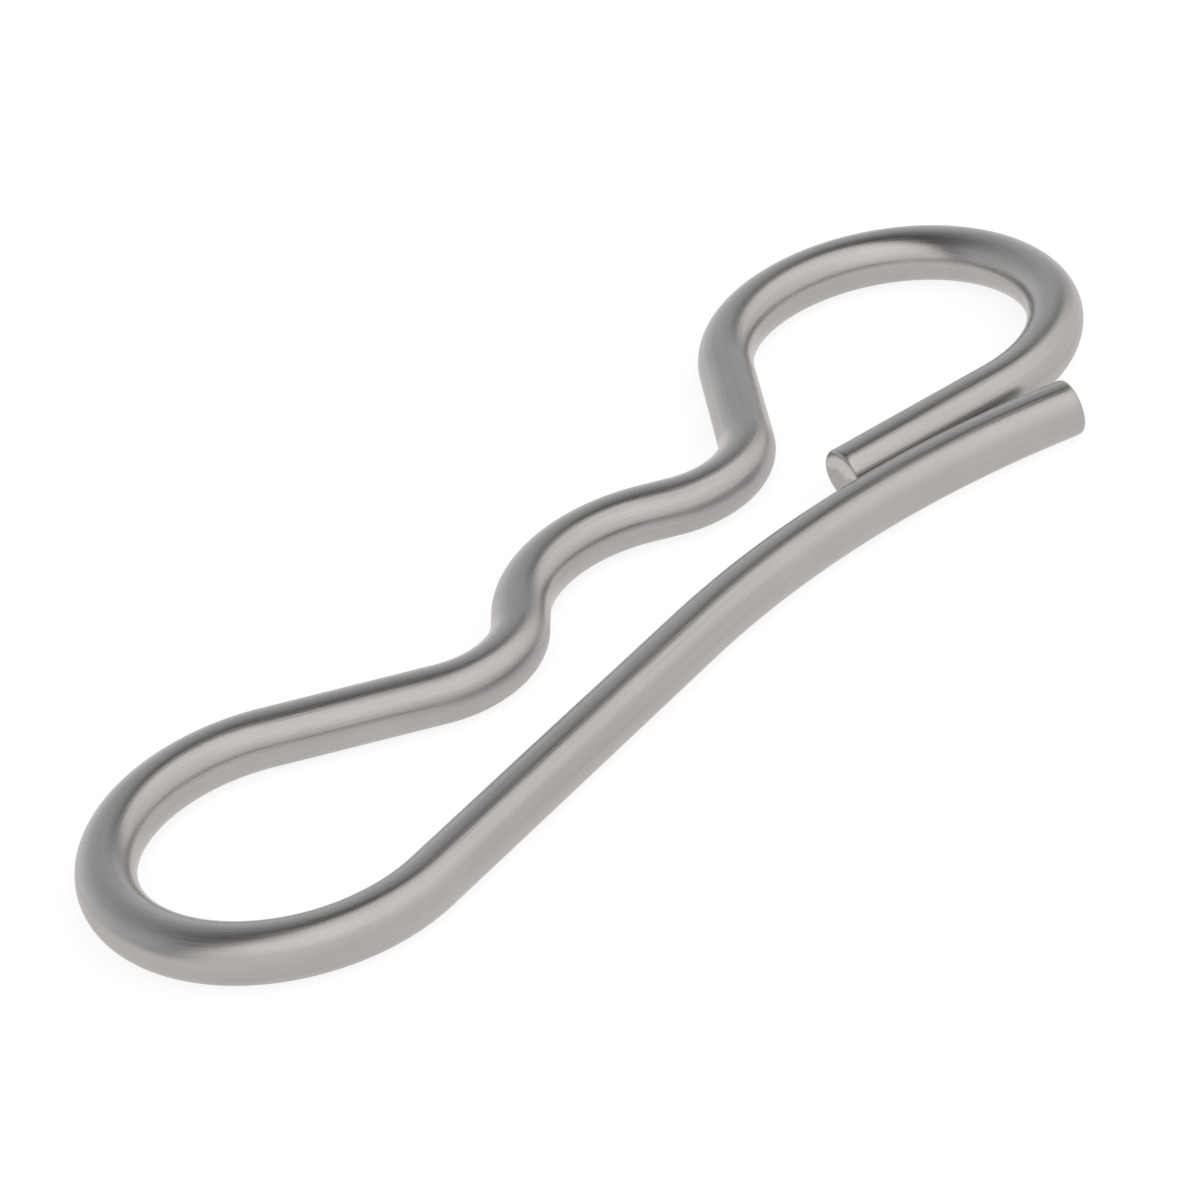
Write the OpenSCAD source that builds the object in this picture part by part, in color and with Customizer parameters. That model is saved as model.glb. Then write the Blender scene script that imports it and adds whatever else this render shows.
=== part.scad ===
// Bow tie cotter pin, a spring pin bent from one length of round wire.
//
// The pin lies flat, with its straight leg along X. In use, the leg goes through the cross
// hole of an upright shaft and the saddle in the wavy side grips that shaft from outside,
// between two loops that give the spring its travel. The wire is laid out as a wire bender
// forms it: one list of straight runs and bends for the bow and one for the leg, both
// followed from the near loop's foot, the point where that loop meets the leg.

/* [Wire] */
// Diameter of the round spring wire
wire_d = 3; // [2:0.1:4]
// Width of the broken edge round each cut end
end_break = 0.15; // [0.05:0.05:0.25]

/* [Leg] */
// Straight length of the leg, from the near loop's foot to the toe
leg_l = 21.5; // [16:0.5:28]
// Inside radius of the toe, the gently bent end that leads the leg into its hole
toe_in_r = 48; // [36:1:70]
// Angle through which the toe bends away from the bow
toe_angle = 29.5; // [10:0.5:40]
// Straight length of the leg's cut end, after the toe
cut_l = 0.5; // [0.5:0.1:3]

/* [Loops] */
// Inside radius of the near and the far loop
loop_in_r = 7.4; // [6:0.1:10]

/* [Saddle] */
// Inside radius of the saddle that seats on the shaft
saddle_in_r = 6.25; // [4:0.25:8]
// Clear height from the leg to the top of the saddle
throat = 8.2; // [6:0.1:11]
// Inside radius of the dip on either side of the saddle
dip_in_r = 3.25; // [2:0.25:5]
// Straight shoulder between the saddle and each dip
shoulder_l = 1.5; // [0.5:0.1:3]

/* [Slopes] */
// Slope of the saddle's two sides to the middle line of the bow
wave_angle = 40; // [32:0.5:46]
// Lean of that middle line towards the leg
lean_angle = 3.8; // [0:0.1:6]
// Slope to the leg of the flank that climbs to the far loop
far_angle = 43; // [36:0.5:50]

/* [Tail] */
// Straight length of the tail, the free end that comes back from the far loop
tail_l = 10.4; // [8:0.1:14]
// Gap between the tail and the toe where they pass closest
tail_gap = 0.2; // [0.1:0.05:1]
// Length of tail that goes on beyond that closest point
tail_past = 1; // [0:0.1:3]

/* [Hidden] */
$fn = 72;
steel = [0.73, 0.71, 0.69];

// Radii of the wire and of its centreline round each bend
wire_r = wire_d / 2;
loop_r = loop_in_r + wire_r;
saddle_r = saddle_in_r + wire_r;
dip_r = dip_in_r + wire_r;
toe_r = toe_in_r + wire_r;

// Slopes to the leg where the wire climbs onto the saddle and where it comes down again
rise_angle = wave_angle - lean_angle;
fall_angle = wave_angle + lean_angle;

// Bends and stubs have the wire's full radius. A run is thinner by the seam and laps into
// what is on either side of it, so that no two surfaces of the wire coincide.
seam = 0.02;
lap = 0.05;

// Each cut end is a short full stub and its broken edge
stub_l = 0.2;
end_l = stub_l + end_break;

// A pose is [x, y, heading] on the centreline. A step is [length] for a straight run and
// [radius, turn] for a bend, with a turn to the left positive.
function along(heading) = [cos(heading), sin(heading)];
function left_of(heading) = [-sin(heading), cos(heading)];
function point(pose) = [pose.x, pose.y];
function posed(point, heading) = [point.x, point.y, heading];
function is_bend(step) = len(step) == 2;
function after_run(pose, length) = posed(point(pose) + length * along(pose.z), pose.z);
function after_bend(pose, radius, turn) =
    let (heading = pose.z + turn, to_centre = sign(turn) * radius)
    posed(point(pose) + to_centre * (left_of(pose.z) - left_of(heading)), heading);
function after(pose, step) =
    is_bend(step) ? after_bend(pose, step[0], step[1]) : after_run(pose, step[0]);
function poses(start, route, i = 0) =
    i == len(route) ? [start] : concat([start], poses(after(start, route[i]), route, i + 1));
function last_pose(start, route) = poses(start, route)[len(route)];

// Both routes start at the near loop's foot, and run opposite ways along the leg's axis
leg_start = [0, 0, 0];
bow_start = [0, 0, 180];
leg_route = [[leg_l], [toe_r, -toe_angle], [cut_l - end_l]];

// The near flank comes down from the near loop far enough to set the saddle at its throat
function route_to_saddle(flank_l) = [
    [loop_r, -180 - fall_angle],
    [flank_l],
    [dip_r, fall_angle + rise_angle],
    [shoulder_l]
];
function saddle_top(flank_l) =
    last_pose(bow_start, concat(route_to_saddle(flank_l), [[saddle_r, -rise_angle]])).y;
near_flank_l = (saddle_top(0) - wire_d - throat) / sin(fall_angle);

route_to_far_flank = concat(route_to_saddle(near_flank_l), [
    [saddle_r, -rise_angle - fall_angle],
    [shoulder_l],
    [dip_r, fall_angle + far_angle]
]);

// The far flank is as long as it takes for the tail to lie on a line that touches both the
// far loop and the circle that clears the toe by the tail's gap. The offset is the way from
// the toe's centre to the far loop's for a flank with no length.
toe_centre = [leg_l, -toe_r];
clear_r = toe_r + wire_d + tail_gap;
centres_l = norm([clear_r + loop_r, tail_l - tail_past]);
far_start = last_pose(bow_start, route_to_far_flank);
offset = point(far_start) - loop_r * left_of(far_angle) - toe_centre;
advance = offset * along(far_angle);
far_flank_l = sqrt(advance ^ 2 - offset * offset + centres_l ^ 2) - advance;
to_far_centre = offset + far_flank_l * along(far_angle);
tail_slope = atan2(to_far_centre.y, to_far_centre.x) - asin((clear_r + loop_r) / centres_l);

bow_route = concat(route_to_far_flank, [
    [far_flank_l],
    [loop_r, tail_slope - 180 - far_angle],
    [tail_l - end_l]
]);

// The origin is on the ground, under the middle of the pin's outline seen from above
loop_out_r = loop_r + wire_r;
far_centre = toe_centre + to_far_centre;
toe_end = last_pose(leg_start, concat(leg_route, [[stub_l]]));
left_edge = -loop_out_r;
right_edge = far_centre.x + loop_out_r;
top_edge = loop_r + loop_out_r;
bottom_edge = min(toe_end.y - wire_r * cos(toe_angle), far_centre.y - loop_out_r);
middle = [left_edge + right_edge, bottom_edge + top_edge] / 2;

module at(pose) {
    translate(point(pose)) rotate(pose.z) children();
}

module run(length) {
    translate([-lap, 0]) rotate([0, 90, 0]) cylinder(r = wire_r - seam, h = length + 2 * lap);
}

module bend(radius, turn) {
    translate([0, sign(turn) * radius])
        rotate(turn > 0 ? -90 : 90 + turn)
            rotate_extrude(angle = abs(turn))
                translate([radius, 0]) circle(r = wire_r);
}

module cut_end() {
    rotate([0, 90, 0]) {
        cylinder(r = wire_r, h = stub_l);
        translate([0, 0, stub_l])
            cylinder(r1 = wire_r, r2 = wire_r - end_break, h = end_break);
    }
}

module formed(start, route) {
    stops = poses(start, route);
    for (i = [0 : len(route) - 1]) {
        step = route[i];
        at(stops[i])
            if (is_bend(step)) bend(step[0], step[1]);
            else run(step[0]);
    }
    at(stops[len(route)]) cut_end();
}

module wire() {
    color(steel)
        translate([-middle.x, -middle.y, wire_r]) {
            formed(leg_start, leg_route);
            formed(bow_start, bow_route);
        }
}

wire();
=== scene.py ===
"""Looks of the bow tie cotter pin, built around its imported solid.

Lengths are in millimetres, as the pin's drawing gives them, and MM turns them into Blender's
metres. The pin lies flat on the floor with its leg along +X and +Z up.
"""

import math

import bpy
from mathutils import Euler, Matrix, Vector


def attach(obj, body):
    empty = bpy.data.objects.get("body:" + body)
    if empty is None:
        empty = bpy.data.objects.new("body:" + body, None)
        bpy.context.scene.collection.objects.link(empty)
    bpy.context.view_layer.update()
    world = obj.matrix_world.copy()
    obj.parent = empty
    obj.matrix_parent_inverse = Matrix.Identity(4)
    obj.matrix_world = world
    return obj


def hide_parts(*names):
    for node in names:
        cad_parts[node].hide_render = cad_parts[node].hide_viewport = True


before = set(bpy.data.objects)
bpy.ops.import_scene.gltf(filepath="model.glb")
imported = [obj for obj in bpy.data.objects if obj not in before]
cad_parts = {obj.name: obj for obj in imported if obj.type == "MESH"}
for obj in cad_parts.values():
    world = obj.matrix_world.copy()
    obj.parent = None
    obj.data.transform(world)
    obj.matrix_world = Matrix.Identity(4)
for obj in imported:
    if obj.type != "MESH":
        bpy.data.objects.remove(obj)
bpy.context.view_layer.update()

MM = 0.001

# ---------------------------------------------------------------- sizes of the bent wire, in mm
WIRE_D = 3.0
END_BREAK = 0.15
LEG_L = 21.5
TOE_IN_R = 48.0
TOE_ANGLE = 29.5
CUT_L = 0.5
LOOP_IN_R = 7.4
SADDLE_IN_R = 6.25
THROAT = 8.2
DIP_IN_R = 3.25
SHOULDER_L = 1.5
WAVE_ANGLE = 40.0
LEAN_ANGLE = 3.8
FAR_ANGLE = 43.0
TAIL_L = 10.4
TAIL_GAP = 0.2
TAIL_PAST = 1.0

WIRE_R = WIRE_D / 2
LOOP_R = LOOP_IN_R + WIRE_R
SADDLE_R = SADDLE_IN_R + WIRE_R
DIP_R = DIP_IN_R + WIRE_R
TOE_R = TOE_IN_R + WIRE_R
RISE_ANGLE = WAVE_ANGLE - LEAN_ANGLE
FALL_ANGLE = WAVE_ANGLE + LEAN_ANGLE

# The ends' round edge touches the flat bevel of the solid from inside
END_ROUND = END_BREAK * (1 + math.sqrt(0.5))
FACE_R = WIRE_R - END_ROUND

# ---------------------------------------------------------------- fineness of the swept mesh
RING_PITCH = 0.35
SIDES = 56
BREAK_RINGS = 5
FACE_RINGS = 6
END_RINGS = BREAK_RINGS + FACE_RINGS

# ---------------------------------------------------------------- the unrolled map, in mm
STRIPS = 4
MAP_GAP = 0.4
MAP_SIDE = 44.8
WIRE_ROUND = math.pi * WIRE_D


# ---------------------------------------------------------------- the centreline
def along(heading):
    return Vector((math.cos(math.radians(heading)), math.sin(math.radians(heading))))


def left_of(heading):
    return along(heading + 90)


def after(point, heading, step):
    """The point and heading at the end of a step: (length,) runs straight, (radius, turn) bends."""
    if len(step) == 1:
        return point + step[0] * along(heading), heading
    radius, turn = step
    to_centre = math.copysign(radius, turn)
    return point + to_centre * (left_of(heading) - left_of(heading + turn)), heading + turn


def end_of(point, heading, route):
    for step in route:
        point, heading = after(point, heading, step)
    return point, heading


def length_of(step):
    return step[0] if len(step) == 1 else step[0] * math.radians(abs(step[1]))


def part_of(step, share):
    return (step[0] * share,) if len(step) == 1 else (step[0], step[1] * share)


def bow_and_leg():
    """Both routes of the wire from the near loop's foot, and the far loop's centre."""
    foot = Vector((0, 0))
    leg = [(LEG_L,), (TOE_R, -TOE_ANGLE), (CUT_L,)]

    def to_saddle(flank):
        return [(LOOP_R, -180 - FALL_ANGLE), (flank,), (DIP_R, FALL_ANGLE + RISE_ANGLE), (SHOULDER_L,)]

    top, _ = end_of(foot, 180, to_saddle(0) + [(SADDLE_R, -RISE_ANGLE)])
    near_flank = (top.y - WIRE_D - THROAT) / math.sin(math.radians(FALL_ANGLE))
    bow = to_saddle(near_flank) + [
        (SADDLE_R, -RISE_ANGLE - FALL_ANGLE),
        (SHOULDER_L,),
        (DIP_R, FALL_ANGLE + FAR_ANGLE),
    ]

    # The tail lies on a line that touches the far loop and the circle that clears the toe
    toe_centre = Vector((LEG_L, -TOE_R))
    reach = TOE_R + WIRE_D + TAIL_GAP + LOOP_R
    centres = math.hypot(reach, TAIL_L - TAIL_PAST)
    start, _ = end_of(foot, 180, bow)
    offset = start - LOOP_R * left_of(FAR_ANGLE) - toe_centre
    advance = offset.dot(along(FAR_ANGLE))
    far_flank = math.sqrt(advance**2 - offset.length_squared + centres**2) - advance
    to_far = offset + far_flank * along(FAR_ANGLE)
    tail_slope = math.degrees(math.atan2(to_far.y, to_far.x) - math.asin(reach / centres))
    bow += [(far_flank,), (LOOP_R, tail_slope - 180 - FAR_ANGLE), (TAIL_L,)]
    return bow, leg, toe_centre + to_far


def stations(heading, route):
    """(point, heading, distance, bend) along one route, with bend the curvature to the left."""
    point, distance, out = Vector((0, 0)), 0.0, []
    for step in route:
        length = length_of(step)
        count = max(1, round(length / RING_PITCH))
        bend = 0.0 if len(step) == 1 else math.copysign(1 / step[0], step[1])
        for i in range(count):
            here, turned = after(point, heading, part_of(step, i / count))
            out.append((here, turned, distance + length * i / count, bend))
        point, heading = after(point, heading, step)
        distance += length
    out.append((point, heading, distance, 0.0))
    return out


def centreline():
    """Stations from the toe's cut end to the tail's, in the part's frame."""
    bow, leg, far_centre = bow_and_leg()
    toe, _ = end_of(Vector((0, 0)), 0, leg)
    out_r = LOOP_R + WIRE_R
    toe_angle = math.radians(TOE_ANGLE)
    toe_edge = toe.y + END_BREAK * math.sin(toe_angle) - WIRE_R * math.cos(toe_angle)
    edge = min(toe_edge, far_centre.y - out_r)
    middle = Vector((far_centre.x, edge + LOOP_R + out_r)) / 2
    leg_stations = stations(0, leg)
    leg_l = leg_stations[-1][2]
    line = [(p - middle, h + 180, leg_l - s, -b) for p, h, s, b in reversed(leg_stations)]
    line += [(p - middle, h, leg_l + s, b) for p, h, s, b in stations(180, bow)[1:]]
    return line


# ---------------------------------------------------------------- the swept wire
def end_rings():
    """(distance short of the cut, radius) of a cut end's rings, from the full section inwards."""
    rings = []
    for i in range(BREAK_RINGS + 1):
        turn = math.radians(90 * i / BREAK_RINGS)
        rings.append((END_ROUND * (1 - math.sin(turn)), WIRE_R - END_ROUND * (1 - math.cos(turn))))
    rings += [(0.0, FACE_R * (1 - i / FACE_RINGS)) for i in range(1, FACE_RINGS)]
    return rings


def sections():
    """(centre, heading, distance, bend, radius) of each ring, from the toe's cut end to the tail's."""
    line = centreline()
    (start, first_heading, _, _), (end, last_heading, length, _) = line[0], line[-1]
    out = [
        (start + short * along(first_heading), first_heading, short, 0.0, radius)
        for short, radius in reversed(end_rings())
    ]
    out += [(*station, WIRE_R) for station in line if END_ROUND < station[2] < length - END_ROUND]
    out += [
        (end - short * along(last_heading), last_heading, length - short, 0.0, radius)
        for short, radius in end_rings()
    ]
    return out


def strip_place(rings, strip):
    """Places in one strip of the unrolled wire, in mm, by ring and side."""
    low = strip * (WIRE_ROUND + MAP_GAP) + MAP_GAP
    start = strip * rings[-1][2] / STRIPS - MAP_GAP
    return lambda i, k: (rings[i][2] - start, low + WIRE_ROUND * k / SIDES)


def disc_place(rings, tip, number):
    """Places in the flattened disc of one cut end, in mm, by ring and side. The tip is the face's
    innermost ring, at either end of the list, and the ring None is the middle of the face."""
    step = 1 if tip == 0 else -1
    spread = {tip: rings[tip][4]}
    for i in range(tip + step, tip + step * END_RINGS, step):
        wider = math.hypot(rings[i][2] - rings[i - step][2], rings[i][4] - rings[i - step][4])
        spread[i] = spread[i - step] + wider
    reach = spread[tip + step * (END_RINGS - 1)] + MAP_GAP
    middle = Vector(((2 * number + 1) * reach, STRIPS * (WIRE_ROUND + MAP_GAP) + reach))
    return lambda i, k: middle + spread.get(i, 0.0) * along(360 * k / SIDES)


def wire_points(rings):
    """(place in m, place on the unbent wire in mm, strain, share of cut face) of each point:
    ring by ring from the toe's cut end to the tail's, then the middles of the toe's cut face and
    of the tail's."""
    points = []
    for centre, heading, distance, bend, radius in rings:
        cut = min(1.0, (WIRE_R - radius) / END_ROUND)
        for k in range(SIDES):
            turn = 2 * math.pi * k / SIDES
            out, up = radius * math.cos(turn), radius * math.sin(turn)
            place = centre + out * left_of(heading)
            points.append((Vector((*place, WIRE_R + up)) * MM, (out, up, distance), -out * bend, cut))
    for centre, _, distance, _, _ in (rings[0], rings[-1]):
        points.append((Vector((*centre, WIRE_R)) * MM, (0, 0, distance), 0.0, 1.0))
    return points


def wire_faces(rings):
    """Each face as its corners, and each corner as its point and its place on the map in mm."""
    last = len(rings) - 1
    toe_disc, tail_disc = disc_place(rings, 0, 0), disc_place(rings, last, 1)
    faces = []
    for i in range(last):
        if i < END_RINGS - 1:
            place = toe_disc
        elif i > last - END_RINGS:
            place = tail_disc
        else:
            middle = (rings[i][2] + rings[i + 1][2]) / 2
            place = strip_place(rings, int(middle * STRIPS / rings[last][2]))
        for k in range(SIDES):
            a, b = i * SIDES + k, i * SIDES + (k + 1) % SIDES
            near = [(a, place(i, k)), (a + SIDES, place(i + 1, k))]
            far = [(b + SIDES, place(i + 1, k + 1)), (b, place(i, k + 1))]
            faces.append(near + far)
    toe_tip = len(rings) * SIDES
    for k in range(SIDES):
        a, b = k, (k + 1) % SIDES
        faces.append([(toe_tip, toe_disc(None, k)), (a, toe_disc(0, k)), (b, toe_disc(0, k + 1))])
    for k in range(SIDES):
        a, b = last * SIDES + k, last * SIDES + (k + 1) % SIDES
        far = [(b, tail_disc(last, k + 1)), (a, tail_disc(last, k))]
        faces.append([(toe_tip + 1, tail_disc(None, k))] + far)
    return faces


def sweep(name):
    """The wire's mesh. Its attributes say where each point lies on the unbent wire, in mm (unbent),
    how far the bend stretched it (strain), and how far it is on a cut face (cut)."""
    rings = sections()
    faces = wire_faces(rings)
    places, unbent, strain, cut = zip(*wire_points(rings))
    mesh = bpy.data.meshes.new(name)
    mesh.from_pydata(places, [], [[point for point, _ in face] for face in faces])
    vectors = mesh.attributes.new("unbent", "FLOAT_VECTOR", "POINT").data
    vectors.foreach_set("vector", [c for v in unbent for c in v])
    mesh.attributes.new("strain", "FLOAT", "POINT").data.foreach_set("value", strain)
    mesh.attributes.new("cut", "FLOAT", "POINT").data.foreach_set("value", cut)
    unrolled = [c / MAP_SIDE for face in faces for _, place in face for c in place]
    mesh.uv_layers.new(name="OFBake").data.foreach_set("uv", unrolled)
    mesh.polygons.foreach_set("use_smooth", [True] * len(mesh.polygons))
    piece = bpy.data.objects.new(name, mesh)
    bpy.context.scene.collection.objects.link(piece)
    return piece


# ---------------------------------------------------------------- node helpers
def material(name):
    made = bpy.data.materials.new(name)
    made.use_nodes = True
    tree = made.node_tree
    tree.nodes.clear()
    return made, tree


def put(tree, socket, value):
    """Links a socket to another one, or gives it a constant."""
    if isinstance(value, bpy.types.NodeSocket):
        tree.links.new(value, socket)
    else:
        socket.default_value = value


def node(tree, kind, inputs=None, **settings):
    made = tree.nodes.new(kind)
    for key, value in settings.items():
        setattr(made, key, value)
    for key, value in (inputs or {}).items():
        put(tree, made.inputs[key], value)
    return made


def rgba(colour):
    """A colour as a socket takes it."""
    return colour if isinstance(colour, bpy.types.NodeSocket) else (*colour, 1)


def mixed(tree, factor, a, b):
    """A colour that goes from a to b, which are colours or sockets."""
    inputs = {0: factor, 6: rgba(a), 7: rgba(b)}
    return node(tree, "ShaderNodeMix", inputs, data_type="RGBA").outputs[2]


def blended(tree, factor, a, b):
    """A value that goes from a to b."""
    return node(tree, "ShaderNodeMix", {0: factor, 2: a, 3: b}, data_type="FLOAT").outputs[0]


def blended_normal(tree, factor, a, b):
    """A normal that goes from a to b."""
    return node(tree, "ShaderNodeMix", {0: factor, 4: a, 5: b}, data_type="VECTOR").outputs[1]


def ramp(tree, value, span, low=0.0, high=1.0):
    """Goes smoothly from low to high while the value goes from one end of the span to the other."""
    start, end = span
    inputs = {"Value": value, "From Min": start, "From Max": end, "To Min": low, "To Max": high}
    return node(tree, "ShaderNodeMapRange", inputs, interpolation_type="SMOOTHSTEP").outputs[0]


def maths(tree, operation, *values):
    return node(tree, "ShaderNodeMath", dict(enumerate(values)), operation=operation).outputs[0]


def attribute(tree, name):
    return node(tree, "ShaderNodeAttribute", attribute_name=name).outputs


def noise(tree, places, stretch, grains, detail=2.0, roughness=0.55):
    """Noise with this many grains to a mm, stretched by scaling its coordinates."""
    scaled = node(tree, "ShaderNodeVectorMath", {0: places, 1: stretch}, operation="MULTIPLY").outputs[0]
    inputs = {"Vector": scaled, "Scale": grains, "Detail": detail, "Roughness": roughness}
    return node(tree, "ShaderNodeTexNoise", inputs).outputs["Fac"]


def bump(tree, height, depth, below=None):
    """A normal for a relief of this depth in mm, on top of another normal."""
    inputs = {"Height": height, "Distance": depth * MM, "Strength": 1.0}
    if below:
        inputs["Normal"] = below
    return node(tree, "ShaderNodeBump", inputs).outputs[0]


# ---------------------------------------------------------------- the steel
# The noises lie on the unbent wire, whose third axis runs along it. A span is the two values
# between which a ramp goes from none to all.
STEEL = (0.458, 0.455, 0.451)
STREAK_STEEL, STREAK_SHARE = (0.4, 0.397, 0.394), 0.6
BRIGHT_STEEL, WORN_SHARE = (0.53, 0.525, 0.52), 0.25
FRESH_STEEL = (0.6, 0.595, 0.59)

LINES = {"stretch": (1, 1, 0.02), "grains": 11.0, "detail": 3.0}
STREAKS = {"stretch": (1, 1, 0.012), "grains": 2.6}
CLOUDS = {"stretch": (1, 1, 0.6), "grains": 0.3, "detail": 3.0}
GRAIN = {"stretch": (1, 1, 0.7), "grains": 8.0, "detail": 3.0, "roughness": 0.7}
LINE_SPAN = (0.3, 0.7)
STREAK_SPAN = (0.4, 0.72)
WORN_SPAN = (0.42, 0.7)
LINE_DEPTH = 0.005
STREAK_DEPTH = 0.008
GRAIN_DEPTH = 0.003
ROUGH_LOW, ROUGH_HIGH = 0.25, 0.33
ROUGH_WORN = -0.03
ROUGH_STRAINED = 0.2

WAVER = {"stretch": (1, 1, 1), "grains": 0.9, "detail": 3.0}
SCORES = {"stretch": (1, 0.08, 1), "grains": 7.0, "detail": 3.0, "roughness": 0.6}
FRACTURE = {"stretch": (1, 1, 1), "grains": 5.0, "detail": 5.0, "roughness": 0.7}
WAVER_H = -2.2
TORN_SPAN = (-0.6, -1.1)
CUT_SPAN = (0.55, 0.95)
SHEAR_DEPTH = 0.03
FRACTURE_DEPTH = 0.06
ROUGH_SHEARED, ROUGH_TORN = 0.32, 0.45


def skin_of_wire(tree, unbent, strain):
    """Colour, roughness and normal of the drawn surface."""
    lines = noise(tree, unbent, **LINES)
    streaks = noise(tree, unbent, **STREAKS)
    worn = ramp(tree, noise(tree, unbent, **CLOUDS), WORN_SPAN)

    streaked = maths(tree, "MULTIPLY", ramp(tree, streaks, STREAK_SPAN), STREAK_SHARE)
    colour = mixed(tree, streaked, STEEL, STREAK_STEEL)
    colour = mixed(tree, maths(tree, "MULTIPLY", worn, WORN_SHARE), colour, BRIGHT_STEEL)

    roughness = ramp(tree, lines, LINE_SPAN, ROUGH_LOW, ROUGH_HIGH)
    roughness = maths(tree, "MULTIPLY_ADD", worn, ROUGH_WORN, roughness)
    roughness = maths(tree, "MULTIPLY_ADD", strain, ROUGH_STRAINED, roughness)

    normal = bump(tree, streaks, STREAK_DEPTH)
    normal = bump(tree, lines, LINE_DEPTH, normal)
    normal = bump(tree, noise(tree, unbent, **GRAIN), GRAIN_DEPTH, normal)
    return colour, roughness, normal


def face_of_cut(tree, unbent):
    """Colour, roughness and normal of a sheared end: scored above, torn below."""
    height = node(tree, "ShaderNodeSeparateXYZ", {0: unbent}).outputs["Y"]
    edge = maths(tree, "MULTIPLY_ADD", noise(tree, unbent, **WAVER), WAVER_H, height)
    torn = ramp(tree, edge, TORN_SPAN)
    scores = maths(tree, "MULTIPLY", noise(tree, unbent, **SCORES), SHEAR_DEPTH / FRACTURE_DEPTH)
    relief = blended(tree, torn, scores, noise(tree, unbent, **FRACTURE))
    colour = mixed(tree, torn, FRESH_STEEL, BRIGHT_STEEL)
    roughness = ramp(tree, torn, (0.0, 1.0), ROUGH_SHEARED, ROUGH_TORN)
    return colour, roughness, bump(tree, relief, FRACTURE_DEPTH)


def drawn_steel():
    """Satin drawn wire: lines along it, a fine grain, duller stretched bends and sheared ends."""
    made, tree = material("drawn_spring_steel")
    unbent = attribute(tree, "unbent")["Vector"]
    strain = attribute(tree, "strain")["Fac"]
    cut = ramp(tree, attribute(tree, "cut")["Fac"], CUT_SPAN)
    skin_colour, skin_roughness, skin_normal = skin_of_wire(tree, unbent, strain)
    face_colour, face_roughness, face_normal = face_of_cut(tree, unbent)
    inputs = {
        "Base Color": mixed(tree, cut, skin_colour, face_colour),
        "Metallic": 1.0,
        "Roughness": blended(tree, cut, skin_roughness, face_roughness),
        "Normal": blended_normal(tree, cut, skin_normal, face_normal),
    }
    shader = node(tree, "ShaderNodeBsdfPrincipled", inputs)
    node(tree, "ShaderNodeOutputMaterial", {"Surface": shader.outputs[0]})
    return made


wire = sweep("spring_wire")
wire.data.materials.append(drawn_steel())
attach(wire, "root")
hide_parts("wire")

# ---------------------------------------------------------------- floor
# The paint takes the pin's shadow. The glow makes the open floor white, for the camera and in
# what the pin mirrors.
FLOOR_SIDE = 6000.0
FLOOR_PAINT = (0.3, 0.295, 0.293)
GLOW_SEEN = (0.812, 0.816, 0.82)
GLOW_MIRRORED = (0.706, 0.69, 0.677)


def floor():
    bpy.ops.mesh.primitive_plane_add(size=FLOOR_SIDE * MM)
    plane = bpy.context.object
    plane.name = "floor"
    made, tree = material("pale_floor")
    rays = node(tree, "ShaderNodeLightPath").outputs
    glowing = maths(tree, "MAXIMUM", rays["Is Glossy Ray"], rays["Is Transmission Ray"])
    glowing = maths(tree, "MAXIMUM", glowing, rays["Is Camera Ray"])
    glow = mixed(tree, rays["Is Camera Ray"], GLOW_MIRRORED, GLOW_SEEN)
    paint = node(tree, "ShaderNodeBsdfDiffuse", {"Color": rgba(FLOOR_PAINT)})
    light = node(tree, "ShaderNodeEmission", {"Color": glow, "Strength": glowing})
    both = node(tree, "ShaderNodeAddShader", {0: paint.outputs[0], 1: light.outputs[0]})
    node(tree, "ShaderNodeOutputMaterial", {"Surface": both.outputs[0]})
    plane.data.materials.append(made)


floor()

# ---------------------------------------------------------------- studio light
# One half of the sky is a big warm softbox, the key, brightest round its centre. The other half
# is a grey fill that darkens from the horizon up. A darker gap lies between them, deepest high
# up, and a dim patch lies low on the left.
STUDIO_STRENGTH = 1.0
KEY_LOW, KEY_HIGH, KEY_CLIMB = (0.93, 0.88, 0.855), (1.2, 1.15, 1.12), (-0.1, 0.9)
KEY_CENTRE, KEY_MIDDLE, KEY_SPREAD = (-0.38, -0.34, 0.86), (1.27, 1.217, 1.183), (0.75, 1.0)
FILL_SIDE, FILL_EDGE = (0.15, 1.0, 0.15), (0.05, 0.32)
FILL_LOW, FILL_HIGH, FILL_CLIMB = (0.92, 0.92, 0.925), (0.47, 0.475, 0.475), (-0.2, 0.85)
FILL_TOP, TOP_CLIMB = (0.14, 0.14, 0.14), (0.68, 0.95)
GAP_EDGE, GAP_CLIMB = (0.58, 0.36), (0.2, 0.75)
GAP_LOW, GAP_HIGH = 0.3, 0.6
DIM_SIDE, DIM_SPREAD, DIM_DEPTH = (-0.72, 0.6, -0.34), (0.7, 0.95), 0.3


def leaning(tree, toward, direction):
    """How far the sky's direction points along this one, from -1 to 1."""
    inputs = {0: toward, 1: direction}
    return node(tree, "ShaderNodeVectorMath", inputs, operation="DOT_PRODUCT").outputs["Value"]


def dimmed(tree, colour, share):
    """The colour, darker by this share."""
    left = maths(tree, "SUBTRACT", 1.0, share)
    return node(tree, "ShaderNodeVectorMath", {0: colour, "Scale": left}, operation="SCALE").outputs[0]


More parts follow.
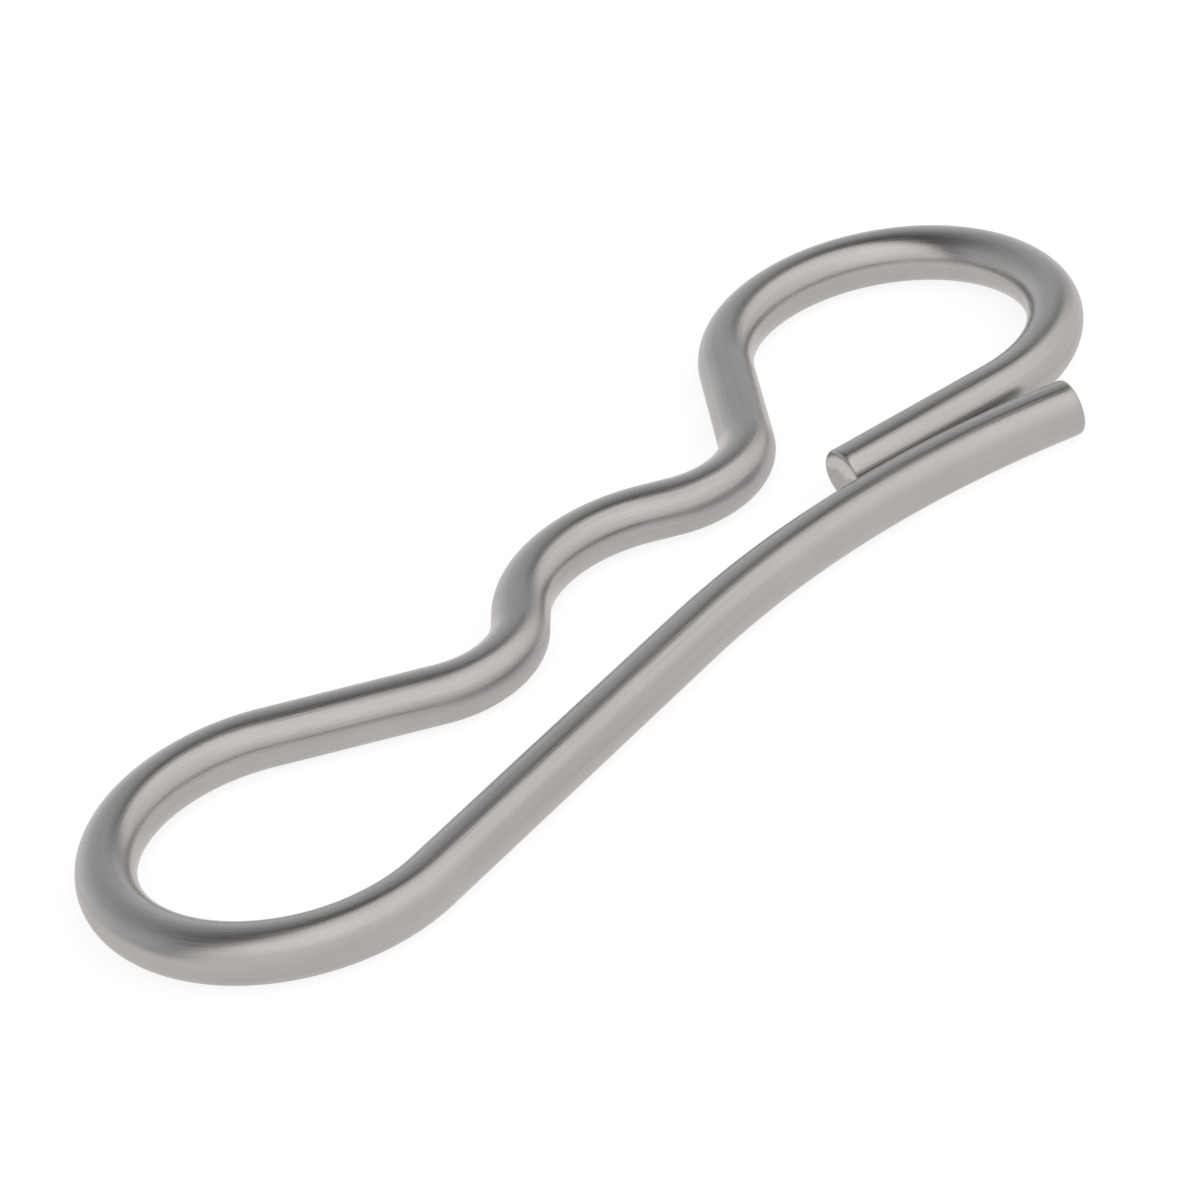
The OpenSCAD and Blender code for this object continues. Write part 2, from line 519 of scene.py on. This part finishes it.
def studio():
    world = bpy.data.worlds.new("studio")
    bpy.context.scene.world = world
    world.use_nodes = True
    tree = world.node_tree
    tree.nodes.clear()
    toward = node(tree, "ShaderNodeTexCoord").outputs["Generated"]
    side = leaning(tree, toward, FILL_SIDE)
    height = node(tree, "ShaderNodeSeparateXYZ", {0: toward}).outputs["Z"]
    key = mixed(tree, ramp(tree, height, KEY_CLIMB), KEY_LOW, KEY_HIGH)
    key = mixed(tree, ramp(tree, leaning(tree, toward, KEY_CENTRE), KEY_SPREAD), key, KEY_MIDDLE)
    fill = mixed(tree, ramp(tree, height, FILL_CLIMB), FILL_LOW, FILL_HIGH)
    fill = mixed(tree, ramp(tree, height, TOP_CLIMB), fill, FILL_TOP)
    gap_depth = ramp(tree, height, GAP_CLIMB, GAP_LOW, GAP_HIGH)
    fill = dimmed(tree, fill, maths(tree, "MULTIPLY", ramp(tree, side, GAP_EDGE), gap_depth))
    sky = mixed(tree, ramp(tree, side, FILL_EDGE), key, fill)
    sky = dimmed(tree, sky, ramp(tree, leaning(tree, toward, DIM_SIDE), DIM_SPREAD, 0.0, DIM_DEPTH))
    back = node(tree, "ShaderNodeBackground", {"Color": sky, "Strength": STUDIO_STRENGTH})
    node(tree, "ShaderNodeOutputWorld", {"Surface": back.outputs[0]})


studio()

# ---------------------------------------------------------------- camera
CAMERA_AT = Vector((-156.205, -143.625, 136.262))
CAMERA_AIM = Vector((-0.3785, 2.4332, 0.0))
CAMERA_ROLL = 12.3735
CAMERA_LENS = 149.5
CAMERA_SENSOR = 36.0
CLIP_NEAR, CLIP_FAR = 10.0, 20000.0


def camera():
    data = bpy.data.cameras.new("camera")
    data.sensor_width = CAMERA_SENSOR
    data.lens = CAMERA_LENS
    data.clip_start, data.clip_end = CLIP_NEAR * MM, CLIP_FAR * MM
    made = bpy.data.objects.new("camera", data)
    bpy.context.scene.collection.objects.link(made)
    made.location = CAMERA_AT * MM
    level = (CAMERA_AIM - CAMERA_AT).to_track_quat("-Z", "Y")
    made.rotation_mode = "QUATERNION"
    made.rotation_quaternion = level @ Euler((0, 0, math.radians(-CAMERA_ROLL))).to_quaternion()
    bpy.context.scene.camera = made


camera()
bpy.context.scene.view_settings.view_transform = "Standard"
